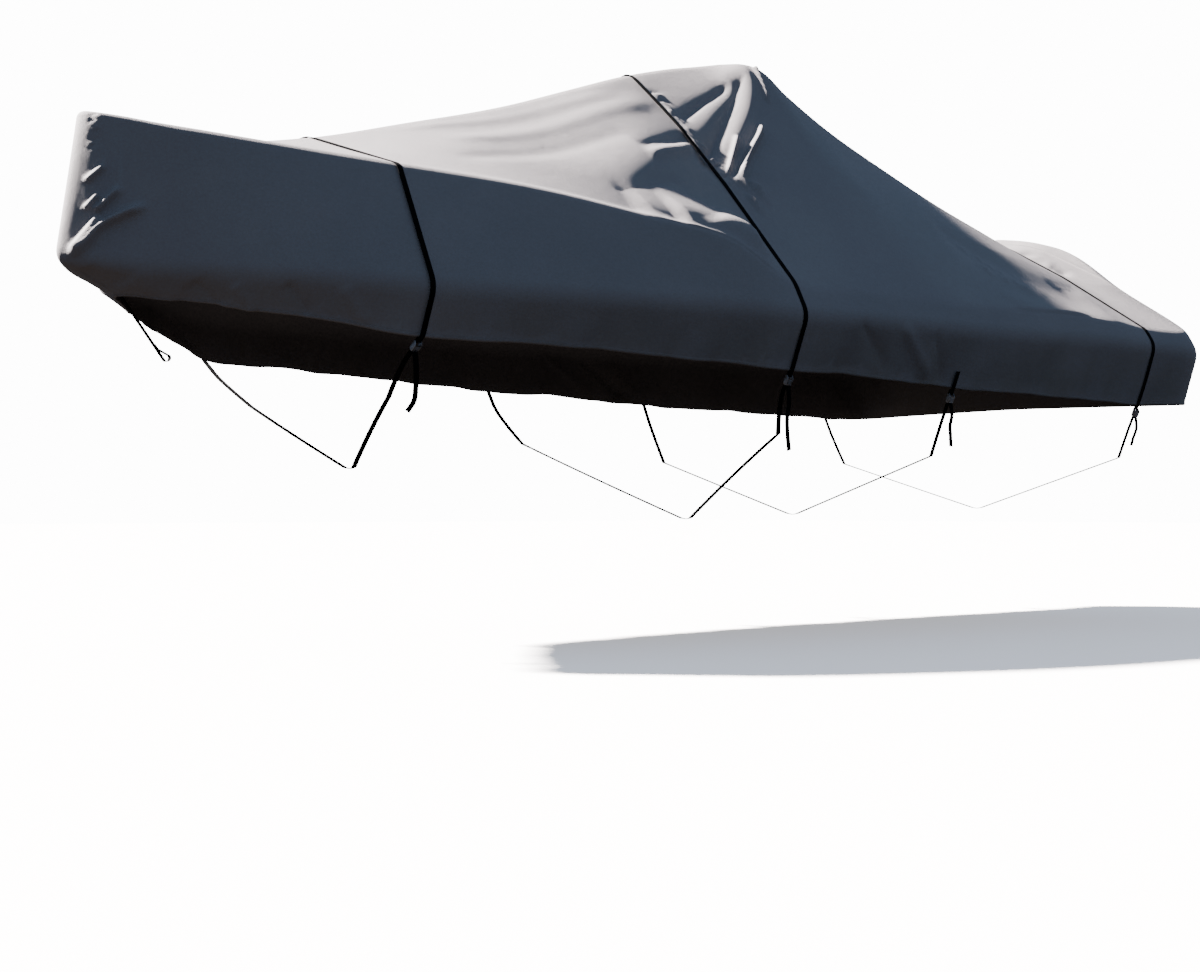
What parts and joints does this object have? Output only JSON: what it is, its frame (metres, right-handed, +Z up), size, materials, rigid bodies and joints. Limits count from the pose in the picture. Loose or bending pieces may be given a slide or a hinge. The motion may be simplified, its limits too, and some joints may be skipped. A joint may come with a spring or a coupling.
{
  "type": "boat cover",
  "caption": "Fitted cloth cover for a small open boat, peaked over its windscreen, banded under the rub rail and held by web belts with cam buckles; hollow and open below.",
  "frame": {"origin": "on the middle plane, just under the cloth at the top of the cover's peak", "axes": "+X to the bow along the cover's length, +Y to port, +Z up"},
  "size_m": [5.7145, 2.3637, 2.1764],
  "materials": {
    "cover_cloth": "matt charcoal woven polyester, weathered",
    "webbing": "black flat woven polypropylene webbing",
    "buckle_metal": "dull grey die-cast metal"
  },
  "bodies": {
    "root": {"cover": "cover_cloth", "fore_belt": "webbing", "fore_buckle": "buckle_metal", "mid_belt": "webbing", "mid_buckle": "buckle_metal", "aft_belt": "webbing", "aft_buckle": "buckle_metal", "hem_strap": "webbing", "hem_strap_tab": "webbing", "hem_buckle": "buckle_metal", "bow_strap": "webbing"}
  },
  "joints": []
}
